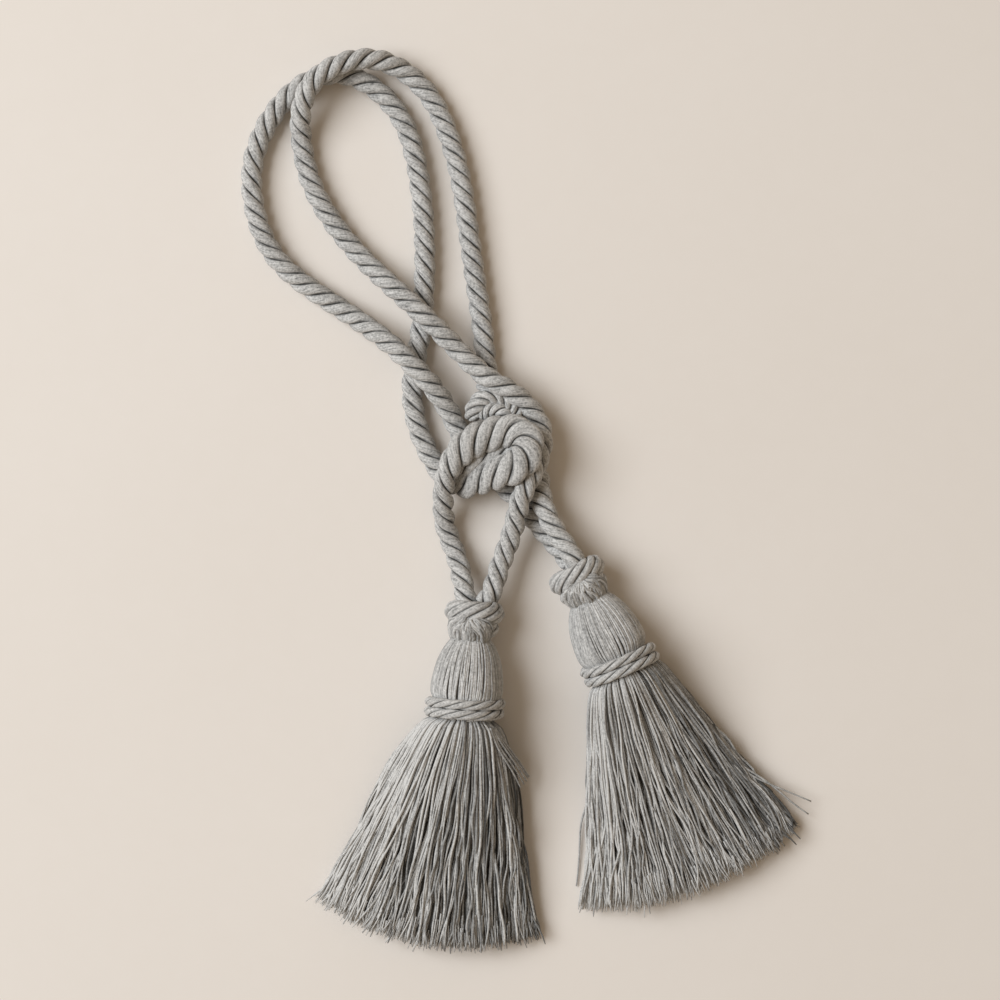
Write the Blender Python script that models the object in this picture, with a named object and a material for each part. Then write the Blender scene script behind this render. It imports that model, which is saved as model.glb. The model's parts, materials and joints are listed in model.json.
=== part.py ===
"""Curtain tieback: two thick twisted cords knotted together, with a yarn tassel at each end.

The tieback lies flat on the XY plane, Z up, in metres.  Both cords run from one tassel to the
other: the wrapping cord goes round the middle of the knot, and the through cord passes through
it.  The origin is under the middle of the whole piece, on the surface it lies on.
"""

import math

import bpy
import numpy as np

MM = 0.001
GAP = 0.3 * MM

# Cords: a tube follows each route, with its points closer together where the cord bends
CORD_RADIUS = 5.0 * MM
CORD_BEVEL_STEPS = 3
CURVE_STEPS = 1500
TUBE_POINTS = 74
LENGTH_PER_POINT = 14 * MM
TURN_PER_POINT = math.radians(17)

# Tassels, measured along their own axis from the middle of the top knot
TOP_KNOT_RADIUS = 14.2 * MM
TOP_KNOT_HALF_LENGTH = 9.2 * MM
TOP_KNOT_GROOVE = 0.07
TOP_KNOT_STRANDS = 7
TOP_KNOT_TWIST = 6
TOP_KNOT_AROUND = 28
TOP_KNOT_RINGS = 12
TOP_KNOT_CAP_ANGLE = math.radians(12)
NECK_RADIUS = 13.4 * MM
BINDING_PLACE = 41.5 * MM
BINDING_CORD_RADIUS = 2.6 * MM
BINDING_HEIGHT = 18.7 * MM
BINDING_BULGE_POINTS = 5
BINDING_AROUND = 28
SKIRT_START = 47.3 * MM
SKIRT_ROOT_HALF_WIDTH = 17 * MM
SKIRT_FLARE = 4.5 * MM
# The most that part * (1 - part)**3 reaches, so the flare is its own full size there
FLARE_PEAK = 0.105
COMB_DEPTH = 5 * MM
YARN_RIDGE = 0.5 * MM
YARN_COLUMNS = 30

# Edges sharper than this are drawn sharp
SHARP_EDGE = math.radians(40)

# Head and neck, one row for each section: place along the axis, radius, height of its middle
HEAD_SECTIONS_MM = [
    {"along": 9.5, "radius": 8.0, "height": 14.6},
    {"along": 10.4, "radius": 10.8, "height": 14.8},
    {"along": 17.0, "radius": 14.2, "height": 15.6},
    {"along": 25.0, "radius": 16.2, "height": 16.8},
    {"along": 31.5, "radius": 16.8, "height": 17.6},
    {"along": 35.9, "radius": 14.6, "height": 18.4},
    {"along": 36.2, "radius": 13.4, "height": 18.7},
    {"along": 47.0, "radius": 13.4, "height": 18.7},
]

# Skirt, one row for each section: how far down the yarns it is, the height of its edges,
# and how far its middle rises above them and falls below them before the surface stops it
SKIRT_SECTIONS = [
    {"part": 0.00, "edge_mm": 18.7, "rise_mm": 17.0, "fall_mm": 17.0},
    {"part": 0.05, "edge_mm": 16.5, "rise_mm": 18.0, "fall_mm": 19.0},
    {"part": 0.16, "edge_mm": 12.5, "rise_mm": 19.0, "fall_mm": 19.0},
    {"part": 0.35, "edge_mm": 9.0, "rise_mm": 17.5, "fall_mm": 18.0},
    {"part": 0.60, "edge_mm": 6.5, "rise_mm": 14.5, "fall_mm": 15.0},
    {"part": 0.82, "edge_mm": 5.0, "rise_mm": 12.5, "fall_mm": 13.0},
    {"part": 1.00, "edge_mm": 4.0, "rise_mm": 11.0, "fall_mm": 12.0},
]

# Where each tassel lies: the middle of its top knot, the turn of its axis away from -Y, and
# how far its outermost yarns lean to either side of that axis
TASSELS = [
    {"side": "left", "x_mm": -24.4, "y_mm": -55.2, "turn_deg": -6.0,
     "lean_left_deg": -32.5, "lean_right_deg": 24.5, "yarn_length_mm": 104},
    {"side": "right", "x_mm": 24.5, "y_mm": -37.7, "turn_deg": 25.5,
     "lean_left_deg": -34.0, "lean_right_deg": 22.5, "yarn_length_mm": 105},
]

# Middle of the lying piece, taken off every place below, which puts the origin under it
LAYOUT_MIDDLE_MM = (-4.5, 0.5)

# The cords' routes in millimetres, chosen by hand, each from the left tassel to the right one
WRAPPING_ROUTE_MM = [
    (-28, -44.5, 13.5), (-32, -28, 7.5), (-37.5, -12, 7), (-38.5, -1, 12.5), (-37.5, 9, 18),
    (-33, 19, 21), (-25, 26.5, 21), (-16, 30, 20.5), (-8, 31.5, 21.5), (-1.5, 29, 23.5),
    (0, 22.5, 25), (-4.5, 16, 24.5), (-17.5, 11.5, 18), (-28, 8.5, 10.5), (-37, 11, 5.8),
    (-45, 21, 5.2), (-51, 36, 5.2), (-53, 53, 5.2), (-50, 72, 5.2), (-47.5, 98, 5.2),
    (-47.5, 125, 5.2), (-50.5, 152, 5.2), (-58, 176, 5.2), (-71, 190.5, 5.2), (-88, 197, 5.2),
    (-104, 191.5, 5.2), (-118, 177, 5.2), (-126.5, 156, 5.2), (-125.5, 133, 5.2), (-116, 112, 5.2),
    (-99, 97, 5.2), (-78, 83, 8), (-60, 69, 15), (-46, 55, 14.5), (-36, 41, 9),
    (-29.5, 28, 6.5), (-21.5, 16, 5.2), (-7, 3, 5.2), (7, -13.5, 5.2), (18.5, -27.5, 8.7),
]
THROUGH_ROUTE_MM = [
    (-17.5, -44.5, 14.5), (-13, -32, 12), (-8.5, -20, 12), (-5, -8, 15.5), (-2, 3, 19.5),
    (3, 13, 17), (6.5, 23, 14), (6.5, 33, 13), (1, 42.5, 14), (-8, 50, 16.5),
    (-18, 56, 16.5), (-30, 67, 15), (-49, 86, 16), (-63, 99, 12), (-79, 115, 6),
    (-92, 132, 5.2), (-100.5, 149, 5.2), (-104, 166, 6), (-103.5, 180, 12), (-97.5, 192, 16),
    (-86, 199.5, 16), (-72, 202.5, 12.5), (-58, 198.5, 7.5), (-46, 188, 5.2), (-37.5, 172, 5.2),
    (-31, 150, 5.2), (-27, 125, 5.2), (-23.5, 100, 5.2), (-20, 75, 5.2), (-18.5, 60, 5.2),
    (-16.5, 48.5, 7.4), (-12.5, 38.5, 8.8), (-6.5, 27.5, 7.5), (0, 15.5, 5.5), (5, 4.5, 9),
    (9, -6.5, 14.5), (15.5, -18, 17.5), (21.5, -27.5, 19),
]


def empty_scene():
    """Remove everything that is in the scene."""
    for thing in list(bpy.data.objects):
        bpy.data.objects.remove(thing, do_unlink=True)


def yarn_material(name, colour):
    """Matte cotton or viscose yarn in one colour."""
    material = bpy.data.materials.new(name)
    material.use_nodes = True
    shader = material.node_tree.nodes["Principled BSDF"]
    shader.inputs["Base Color"].default_value = (*colour, 1.0)
    shader.inputs["Roughness"].default_value = 0.85
    shader.inputs["Metallic"].default_value = 0.0
    return material


def add_object(name, data, material, parent):
    """Link an object for data, with its material, under its parent."""
    thing = bpy.data.objects.new(name, data)
    bpy.context.scene.collection.objects.link(thing)
    data.materials.append(material)
    thing.parent = parent
    return thing


def add_empty(name, place, turn, parent=None):
    """An empty that places what is parented to it."""
    thing = bpy.data.objects.new(name, None)
    bpy.context.scene.collection.objects.link(thing)
    thing.location = place
    thing.rotation_euler = (0.0, 0.0, turn)
    thing.parent = parent
    return thing


def smooth_curve(points, count=CURVE_STEPS):
    """A natural cubic spline through points, read at count even steps of chord length."""
    points = np.array(points, dtype=float)
    chord = np.linalg.norm(np.diff(points, axis=0), axis=1)
    knots = np.concatenate([[0.0], np.cumsum(chord)])
    last = len(points) - 1
    inner = np.arange(1, last)
    matrix = np.eye(last + 1)
    matrix[inner, inner - 1] = chord[:-1]
    matrix[inner, inner] = 2 * (chord[:-1] + chord[1:])
    matrix[inner, inner + 1] = chord[1:]
    slopes = np.diff(points, axis=0) / chord[:, None]
    wanted = np.zeros_like(points)
    wanted[1:-1] = 6 * np.diff(slopes, axis=0)
    bend = np.linalg.solve(matrix, wanted)
    where = np.linspace(0.0, knots[-1], count)
    span = np.clip(np.searchsorted(knots, where, side="right") - 1, 0, last - 1)
    width = chord[span][:, None]
    ahead = (where - knots[span])[:, None]
    behind = (knots[span + 1] - where)[:, None]
    curved = (bend[span] * behind**3 + bend[span + 1] * ahead**3) / (6 * width)
    from_start = (points[span] / width - bend[span] * width / 6) * behind
    from_end = (points[span + 1] / width - bend[span + 1] * width / 6) * ahead
    return curved + from_start + from_end


def tube_points(route):
    """Points along the smooth curve through route, closer together where it turns."""
    curve = smooth_curve(route) * MM
    steps = np.diff(curve, axis=0)
    lengths = np.linalg.norm(steps, axis=1)
    directions = steps / lengths[:, None]
    cosines = np.clip(np.sum(directions[1:] * directions[:-1], axis=1), -1.0, 1.0)
    turns = np.concatenate([[0.0], np.arccos(cosines)])
    effort = np.cumsum(lengths / LENGTH_PER_POINT + turns / TURN_PER_POINT)
    effort = np.concatenate([[0.0], effort])
    even = np.linspace(0.0, effort[-1], TUBE_POINTS)
    return np.column_stack([np.interp(even, effort, curve[:, axis]) for axis in range(3)])


def add_cord(name, route, material, parent):
    """A cord as one plain tube along its route."""
    points = tube_points(route)
    data = bpy.data.curves.new(name, "CURVE")
    data.dimensions = "3D"
    data.bevel_depth = CORD_RADIUS
    data.bevel_resolution = CORD_BEVEL_STEPS
    data.use_fill_caps = True
    spline = data.splines.new("POLY")
    spline.points.add(len(points) - 1)
    flat = np.column_stack([points, np.ones(len(points))]).ravel()
    spline.points.foreach_set("co", flat)
    return add_object(name, data, material, parent)


def closed_mesh(name, rings, caps):
    """A mesh through rings of points, (rings, points, 3), joined in order and closed by caps.

    No point lies below the surface at zero height, so each solid is flat where it rests.
    """
    count, around = rings.shape[:2]
    vertices = rings.reshape(-1, 3).copy()
    vertices[:, 2] = np.maximum(vertices[:, 2], 0.0)
    faces = []
    for ring in range(count - 1):
        for point in range(around):
            following = (point + 1) % around
            near = ring * around
            far = near + around
            faces.append((near + point, near + following, far + following, far + point))
    faces.extend(caps)
    mesh = bpy.data.meshes.new(name)
    mesh.from_pydata(vertices.tolist(), [], faces)
    mesh.validate()
    mesh.shade_smooth()
    mesh.set_sharp_from_angle(angle=SHARP_EDGE)
    return mesh


def top_knot_mesh(name):
    """The top knot: a flattened ball, grooved by the main twists of the cord wound round it."""
    around = np.linspace(0.0, 2 * math.pi, TOP_KNOT_AROUND, endpoint=False)
    along = np.linspace(TOP_KNOT_CAP_ANGLE, math.pi - TOP_KNOT_CAP_ANGLE, TOP_KNOT_RINGS)
    angle, polar = np.meshgrid(around, along)
    groove = 0.5 - 0.5 * np.cos(TOP_KNOT_STRANDS * angle + TOP_KNOT_TWIST * polar)
    reach = 1.0 - TOP_KNOT_GROOVE * groove
    out = TOP_KNOT_RADIUS * np.sin(polar) * reach
    x = out * np.cos(angle)
    y = TOP_KNOT_HALF_LENGTH * np.cos(polar) * reach
    z = TOP_KNOT_RADIUS + out * np.sin(angle) - GAP
    last = TOP_KNOT_AROUND * (TOP_KNOT_RINGS - 1)
    caps = [tuple(range(TOP_KNOT_AROUND - 1, -1, -1)), tuple(range(last, last + TOP_KNOT_AROUND))]
    return closed_mesh(name, np.stack([x, y, z], axis=-1), caps)


def binding_mesh(name):
    """Two turns of thin cord round the neck: a ring whose outside has two round bulges."""
    half_turn = np.linspace(math.pi, 0.0, BINDING_BULGE_POINTS)
    inside = NECK_RADIUS + GAP
    middle = inside + BINDING_CORD_RADIUS
    along = [-2 * BINDING_CORD_RADIUS]
    out = [inside]
    for turn in (-1, 1):
        for angle in half_turn:
            along.append(BINDING_CORD_RADIUS * (turn + math.cos(angle)))
            out.append(middle + BINDING_CORD_RADIUS * math.sin(angle))
    along.append(2 * BINDING_CORD_RADIUS)
    out.append(inside)
    # The two bulges share the valley between them
    along.pop(len(half_turn) + 1)
    out.pop(len(half_turn) + 1)
    angles = np.linspace(2 * math.pi, 0.0, BINDING_AROUND + 1)
    x = np.outer(np.cos(angles), out)
    y = -BINDING_PLACE - np.tile(along, (len(angles), 1))
    z = BINDING_HEIGHT + np.outer(np.sin(angles), out)
    rings = np.stack([x, y, z], axis=-1)
    around = rings.shape[1]
    last = (len(angles) - 2) * around
    caps = []
    for point in range(around):
        following = (point + 1) % around
        caps.append((last + point, last + following, following, point))
    return closed_mesh(name, rings[:-1], caps)


def yarn_place(tassel, side, part):
    """Plan place of the yarn at side, -1 left to 1 right, a part of the way to its tip.

    The yarns leave the neck side by side and fan out to tips on an arc about the neck.
    """
    middle = 0.5 * (tassel["lean_right_deg"] + tassel["lean_left_deg"])
    half = 0.5 * (tassel["lean_right_deg"] - tassel["lean_left_deg"])
    lean = np.radians(middle + half * side)
    length = tassel["yarn_length_mm"] * MM
    straight = length * np.sin(lean) * part + SKIRT_ROOT_HALF_WIDTH * side * (1 - part)
    flare = SKIRT_FLARE * side * (part * (1 - part) ** 3 / FLARE_PEAK)
    return straight + flare, SKIRT_START + length * np.cos(lean) * part


def yarns_mesh(name, tassel):
    """Head, neck and skirt of one bundle of yarn, its tips a comb of short and long locks."""
    half_turn = np.linspace(0.0, math.pi, YARN_COLUMNS + 1)
    across = np.cos(half_turn)
    lift = np.sin(half_turn)
    ridge = np.where(np.arange(YARN_COLUMNS + 1) % 2 == 0, 1.0, -1.0) * YARN_RIDGE * lift
    rings = []
    for section in HEAD_SECTIONS_MM:
        radius = section["radius"] * MM
        height = section["height"] * MM
        x = radius * across
        y = np.full_like(x, -section["along"] * MM)
        rings.append(closed_section(x, y, height + radius * lift, height - radius * lift))
    for section in SKIRT_SECTIONS:
        part = section["part"]
        x, along = yarn_place(tassel, across, part)
        if part == 1.0:
            along = along - COMB_DEPTH * (np.arange(YARN_COLUMNS + 1) % 2)
        edge = section["edge_mm"] * MM
        top = edge + section["rise_mm"] * MM * lift + ridge * min(1.0, 4 * part)
        under = edge - section["fall_mm"] * MM * lift
        rings.append(closed_section(x, -along, top, under))
    rings = np.array(rings)
    around = rings.shape[1]
    last = (len(rings) - 1) * around
    caps = [tuple(range(around - 1, -1, -1))]
    caps.append((last + around - 1, last, last + 1))
    for column in range(1, YARN_COLUMNS - 1):
        opposite = around - column
        caps.append((last + opposite, last + column, last + column + 1, last + opposite - 1))
    caps.append((last + YARN_COLUMNS + 1, last + YARN_COLUMNS - 1, last + YARN_COLUMNS))
    return closed_mesh(name, rings, caps)


def closed_section(x, y, top, under):
    """One ring of points: over the top from right to left, and back along the underside."""
    over = np.column_stack([x, y, top])
    back = np.column_stack([x, y, under])[-2:0:-1]
    return np.vstack([over, back])


def add_tassel(tassel, cord_grey, yarn_grey, parent):
    """Top knot, yarns and binding of one tassel, under an empty in its top knot."""
    side = tassel["side"]
    place = (tassel["x_mm"] * MM, tassel["y_mm"] * MM, 0.0)
    turn = math.radians(tassel["turn_deg"])
    holder = add_empty(f"{side}_tassel", place, turn, parent)
    knot_name = f"{side}_tassel_top_knot"
    yarns_name = f"{side}_tassel_yarns"
    binding_name = f"{side}_tassel_binding"
    add_object(knot_name, top_knot_mesh(knot_name), cord_grey, holder)
    add_object(yarns_name, yarns_mesh(yarns_name, tassel), yarn_grey, holder)
    add_object(binding_name, binding_mesh(binding_name), cord_grey, holder)


def main():
    """Build the whole tieback."""
    empty_scene()
    cord_grey = yarn_material("grey_cotton_cord", (0.37, 0.38, 0.36))
    yarn_grey = yarn_material("grey_tassel_yarn", (0.33, 0.34, 0.32))
    middle_x, middle_y = LAYOUT_MIDDLE_MM
    layout = add_empty("layout", (-middle_x * MM, -middle_y * MM, 0.0), 0.0)
    add_cord("wrapping_cord", WRAPPING_ROUTE_MM, cord_grey, layout)
    add_cord("through_cord", THROUGH_ROUTE_MM, cord_grey, layout)
    for tassel in TASSELS:
        add_tassel(tassel, cord_grey, yarn_grey, layout)


main()
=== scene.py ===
"""Grey cotton curtain tieback: two twisted cords, knotted together, and two yarn tassels.

Everything is in metres, Z up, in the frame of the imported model.  Cords, knots, bindings and
yarns are surfaces worked out as whole arrays.
"""
import json
import math

import bpy
import numpy as np
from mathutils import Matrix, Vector

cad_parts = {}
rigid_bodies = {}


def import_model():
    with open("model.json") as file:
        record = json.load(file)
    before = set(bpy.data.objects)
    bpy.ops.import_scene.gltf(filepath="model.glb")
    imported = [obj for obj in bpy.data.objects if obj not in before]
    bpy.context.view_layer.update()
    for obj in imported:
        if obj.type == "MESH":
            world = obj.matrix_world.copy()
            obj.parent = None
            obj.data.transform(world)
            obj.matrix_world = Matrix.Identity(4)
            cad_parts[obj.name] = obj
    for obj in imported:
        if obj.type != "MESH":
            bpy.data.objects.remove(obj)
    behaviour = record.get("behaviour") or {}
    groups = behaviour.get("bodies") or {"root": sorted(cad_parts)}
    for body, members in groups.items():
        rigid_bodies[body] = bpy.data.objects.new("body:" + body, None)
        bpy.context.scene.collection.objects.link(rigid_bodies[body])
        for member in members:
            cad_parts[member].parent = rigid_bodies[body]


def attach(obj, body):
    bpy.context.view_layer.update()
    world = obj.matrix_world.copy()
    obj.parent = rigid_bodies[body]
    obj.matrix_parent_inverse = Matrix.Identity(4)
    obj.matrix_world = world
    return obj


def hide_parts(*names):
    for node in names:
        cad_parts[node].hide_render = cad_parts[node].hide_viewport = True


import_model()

bl_info = {
    "name": "Tasselled Curtain Tieback",
    "version": (1, 0, 0),
    "blender": (4, 5, 0),
    "location": "View3D > Sidebar > Tieback",
    "description": "Builds a knotted cord tieback with two yarn tassels",
    "category": "Object",
}

MM = 0.001
UPWARD = np.array([0.0, 0.0, 1.0])
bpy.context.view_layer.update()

# The cords' routes in metres, from the left tassel to the right one.  The model's origin is
# at the middle of this layout.
LAYOUT_MIDDLE = np.array([-0.0045, 0.0005, 0.0])
WRAPPING_ROUTE = [
    (-0.028, -0.0445, 0.0135), (-0.032, -0.028, 0.0075), (-0.0375, -0.012, 0.007),
    (-0.0385, -0.001, 0.0125), (-0.0375, 0.009, 0.018), (-0.033, 0.019, 0.021),
    (-0.025, 0.0265, 0.021), (-0.016, 0.030, 0.0205), (-0.008, 0.0315, 0.0215),
    (-0.0015, 0.029, 0.0235), (0.0, 0.0225, 0.025), (-0.0045, 0.016, 0.0245),
    (-0.0175, 0.0115, 0.018), (-0.028, 0.0085, 0.0105), (-0.037, 0.011, 0.0058),
    (-0.045, 0.021, 0.0052), (-0.051, 0.036, 0.0052), (-0.053, 0.053, 0.0052),
    (-0.050, 0.072, 0.0052), (-0.0475, 0.098, 0.0052), (-0.0475, 0.125, 0.0052),
    (-0.0505, 0.152, 0.0052), (-0.058, 0.176, 0.0052), (-0.071, 0.1905, 0.0052),
    (-0.088, 0.197, 0.0052), (-0.104, 0.1915, 0.0052), (-0.118, 0.177, 0.0052),
    (-0.1265, 0.156, 0.0052), (-0.1255, 0.133, 0.0052), (-0.116, 0.112, 0.0052),
    (-0.099, 0.097, 0.0052), (-0.078, 0.083, 0.008), (-0.060, 0.069, 0.015),
    (-0.046, 0.055, 0.0145), (-0.036, 0.041, 0.009), (-0.0295, 0.028, 0.0065),
    (-0.0215, 0.016, 0.0052), (-0.007, 0.003, 0.0052), (0.007, -0.0135, 0.0052),
    (0.0185, -0.0275, 0.0087),
]
THROUGH_ROUTE = [
    (-0.0175, -0.0445, 0.0145), (-0.013, -0.032, 0.012), (-0.0085, -0.020, 0.012),
    (-0.005, -0.008, 0.0155), (-0.002, 0.003, 0.0195), (0.003, 0.013, 0.017),
    (0.0065, 0.023, 0.014), (0.0065, 0.033, 0.013), (0.001, 0.0425, 0.014),
    (-0.008, 0.050, 0.0165), (-0.018, 0.056, 0.0165), (-0.030, 0.067, 0.015),
    (-0.049, 0.086, 0.016), (-0.063, 0.099, 0.012), (-0.079, 0.115, 0.006),
    (-0.092, 0.132, 0.0052), (-0.1005, 0.149, 0.0052), (-0.104, 0.166, 0.006),
    (-0.1035, 0.180, 0.012), (-0.0975, 0.192, 0.016), (-0.086, 0.1995, 0.016),
    (-0.072, 0.2025, 0.0125), (-0.058, 0.1985, 0.0075), (-0.046, 0.188, 0.0052),
    (-0.0375, 0.172, 0.0052), (-0.031, 0.150, 0.0052), (-0.027, 0.125, 0.0052),
    (-0.0235, 0.100, 0.0052), (-0.020, 0.075, 0.0052), (-0.0185, 0.060, 0.0052),
    (-0.0165, 0.0485, 0.0074), (-0.0125, 0.0385, 0.0088), (-0.0065, 0.0275, 0.0075),
    (0.0, 0.0155, 0.0055), (0.005, 0.0045, 0.009), (0.009, -0.0065, 0.0145),
    (0.0155, -0.018, 0.0175), (0.0215, -0.0275, 0.019),
]

# Folds of cord that show in the knot.  The pitch is the length of one turn of the strands,
# and a negative one turns the other way.
KNOT_FOLDS = [
    {"route": [(-0.031, 0.0135, 0.013), (-0.025, 0.0165, 0.0155), (-0.0175, 0.0195, 0.0165),
               (-0.0095, 0.022, 0.0175), (-0.004, 0.0235, 0.0175)],
     "radius": 0.0046, "pitch": 0.026, "strands": 3, "seed": 301},
    {"route": [(-0.0255, 0.037, 0.0105), (-0.0235, 0.043, 0.0125), (-0.018, 0.0475, 0.0135),
               (-0.011, 0.047, 0.0135), (-0.006, 0.042, 0.0135), (-0.0045, 0.036, 0.0135)],
     "radius": 0.0045, "pitch": -0.019, "strands": 4, "seed": 311},
    {"route": [(-0.021, 0.038, 0.0125), (-0.0155, 0.0415, 0.015), (-0.010, 0.0395, 0.0155),
               (-0.008, 0.035, 0.015)],
     "radius": 0.0034, "pitch": 0.012, "strands": 3, "seed": 321},
]

# How each tassel lies and what is its own.  turn is its axis away from -Y and lean_left and
# lean_right are its outermost yarns' angles, in degrees.  fan and fan_width place the fine
# yarns on its top knot, in radians.  binding_slope is 1 or -1 for the way its binding climbs,
# and collar_slope is the top knot's slope in millimetres.  bulge and longer_left add to the
# skirt's width and to its left yarns.  tone is how light its yarns are.  The side entry is
# painted light and shade: how much lighter its yarns are painted on the left, towards the
# window light, than in the middle, and how much darker on the right.  draw is its run of random
# draws.
TASSELS = {
    "left": {"knot": (-0.0244, -0.0552), "turn": -6.0, "lean_left": -32.5, "lean_right": 24.5,
             "yarn_length": 0.106, "collar_slope": 0.6, "fan": -0.2, "fan_width": 1.15,
             "binding_place": 0.0397, "binding_slope": -1, "binding_pitch": 0.024,
             "bulge": 0.0024, "longer_left": 0.0, "tone": 1.0, "painted_side_light": 0.32, "draw": 11},
    "right": {"knot": (0.0245, -0.0377), "turn": 25.5, "lean_left": -34.0, "lean_right": 22.5,
              "yarn_length": 0.107, "collar_slope": 0.6, "fan": 0.0, "fan_width": 1.1,
              "binding_place": 0.0415, "binding_slope": 1, "binding_pitch": 0.025,
              "bulge": 0.0006, "longer_left": 0.0035, "tone": 1.12, "painted_side_light": 0.24, "draw": 23},
}

# Head and neck: place along the tassel's axis, radius, height of the middle
HEAD_RADIUS, HEAD_HEIGHT = 1, 2
HEAD_SECTIONS = [
    (0.0060, 0.0050, 0.0144), (0.0095, 0.0098, 0.0146), (0.0130, 0.0122, 0.0150),
    (0.0180, 0.0145, 0.0156), (0.0250, 0.0161, 0.0168), (0.0315, 0.0167, 0.0177),
    (0.0350, 0.0160, 0.0183), (0.0375, 0.0143, 0.0187), (0.0415, 0.0138, 0.0187),
    (0.0450, 0.0140, 0.0187),
]

# Skirt: part of the way to the tips, height of its edges, rise of its middle above them,
# and fall of its middle below them before the surface stops it
SKIRT_EDGE, SKIRT_RISE, SKIRT_FALL = 1, 2, 3
SKIRT_SECTIONS = [
    (0.00, 0.0187, 0.0150, 0.0150), (0.05, 0.0170, 0.0178, 0.0180),
    (0.16, 0.0128, 0.0190, 0.0190), (0.35, 0.0090, 0.0175, 0.0180),
    (0.60, 0.0065, 0.0145, 0.0150), (0.82, 0.0050, 0.0125, 0.0130),
    (1.00, 0.0040, 0.0110, 0.0120),
]

# Yarns that have come away, in millimetres across and back from the top knot, and high
STRAYS = {
    "left": [
        [(13.5, -47, 27), (18.5, -54, 25), (25, -62, 20), (32.5, -72, 11)],
        [(13, -47, 28), (17.5, -55, 26), (24, -63, 21), (31.5, -73.5, 12)],
        [(14, -47, 26), (19.5, -54, 23.5), (26, -61.5, 18.5), (33, -70.5, 10)],
        [(12.5, -47, 29), (16.5, -55, 27), (23, -64, 22), (30, -75, 14)],
        [(14.5, -47, 25), (20.5, -54, 22), (27, -61.5, 17), (33.5, -70, 9.5)],
    ],
    "right": [
        [(25, -100, 12), (33, -114.5, 9), (43, -126.5, 8), (54, -139, 6)],
        [(29, -106, 10), (39, -122, 8), (46, -137, 6), (50, -144, 4)],
        [(-31, -82, 9), (-38, -91, 5), (-46.5, -100, 2.5), (-54, -113, 1.2), (-63.5, -129, 1)],
    ],
}

CORD_DIAMETER = 10 * MM
CORD_INTO_KNOT = 4 * MM
KNOB_THICKER = 2.9 * MM
TOP_KNOT_RADIUS = 14.2 * MM
TOP_KNOT_HEIGHT = 13.9 * MM
TOP_KNOT_YARNS = 96
HEAD_YARNS = 120
BINDING_HEIGHT = 18.7 * MM
BINDING_CLIMB = 4.5 * MM
NECK_RADIUS = 13.9 * MM
SKIRT_START = 44.6 * MM
FRINGE_ENDS = 700
LOCK_FAMILIES, LOCKS_EACH = 3, 18
FLOOR_CLEARANCE = 0.1 * MM
FLOOR_SIZE = 6.0
CAMERA_OVER = (-0.0079, -0.0005)

# Spun cotton on each kind of piece: streaks round it, their length, how far they stand out,
# and how strongly they differ in tone
FIBRES = {
    "cord": {"around": 34.0, "length": 5.0 * MM, "relief": 0.6 * MM, "contrast": 1.7},
    "folds": {"around": 24.0, "length": 5.0 * MM, "relief": 0.6 * MM, "contrast": 1.7},
    "yarn": {"around": 4.0, "length": 4.0 * MM, "relief": 0.35 * MM, "contrast": 1.35},
    "binding": {"around": 26.0, "length": 3.5 * MM, "relief": 0.45 * MM, "contrast": 1.4},
    "top knot": {"around": 20.0, "length": 4.0 * MM, "relief": 0.5 * MM, "contrast": 1.5},
}


# ---------------------------------------------------------------- curves and surfaces

def unit(vectors):
    """Vectors scaled to length one."""
    return vectors / np.maximum(np.linalg.norm(vectors, axis=-1, keepdims=True), 1e-12)


def smooth_curve(points, count=1500):
    """Natural cubic spline through points, read at count even steps of chord length."""
    points = np.array(points, dtype=float)
    chord = np.linalg.norm(np.diff(points, axis=0), axis=1)
    knots = np.concatenate([[0.0], np.cumsum(chord)])
    last = len(points) - 1
    inner = np.arange(1, last)
    matrix = np.eye(last + 1)
    matrix[inner, inner - 1] = chord[:-1]
    matrix[inner, inner] = 2 * (chord[:-1] + chord[1:])
    matrix[inner, inner + 1] = chord[1:]
    slopes = np.diff(points, axis=0) / chord[:, None]
    wanted = np.zeros_like(points)
    wanted[1:-1] = 6 * np.diff(slopes, axis=0)
    bend = np.linalg.solve(matrix, wanted)
    where = np.linspace(0.0, knots[-1], count)
    span = np.clip(np.searchsorted(knots, where, side="right") - 1, 0, last - 1)
    width = chord[span][:, None]
    ahead = (where - knots[span])[:, None]
    behind = (knots[span + 1] - where)[:, None]
    curved = (bend[span] * behind**3 + bend[span + 1] * ahead**3) / (6 * width)
    from_start = (points[span] / width - bend[span] * width / 6) * behind
    from_end = (points[span + 1] / width - bend[span + 1] * width / 6) * ahead
    return curved + from_start + from_end


def lengths_along(path):
    """Distance of each point from the start of its path."""
    steps = np.linalg.norm(np.diff(path, axis=-2), axis=-1)
    return np.concatenate([np.zeros_like(steps[..., :1]), np.cumsum(steps, axis=-1)], axis=-1)


def even_steps(path, step):
    """The same line with its points evenly spaced, about step apart."""
    along = lengths_along(path)
    count = int(round(along[-1] / step)) + 1
    even = np.linspace(0.0, along[-1], count)
    return np.column_stack([np.interp(even, along, path[:, axis]) for axis in range(3)])


def read_table(rows, column, where):
    """A column of a table of sections, smoothly, at places given in its first column."""
    rows = np.array(rows)
    curve = smooth_curve(rows[:, [0, column]], 400)
    return np.interp(where, curve[:, 0], curve[:, 1])


def tube_points(paths, radii, turns, upward, widen=1.0):
    """Rings round many paths at once.

    A ring's point at angle a is path + radius * (cos(a) * up + sin(a) * widen * side), where
    side is upward x tangent and up is tangent x side.  radii and turns broadcast to
    (paths, rings, points); turns holds each point's angle a.
    """
    tangent = unit(np.gradient(paths, axis=-2))
    side = unit(np.cross(upward, tangent))
    up = np.cross(tangent, side)
    side = side * np.asarray(widen)[..., None]
    radial = np.cos(turns)[..., None] * up[..., None, :]
    radial = radial + np.sin(turns)[..., None] * side[..., None, :]
    return paths[..., None, :] + radii[..., None] * radial


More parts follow.
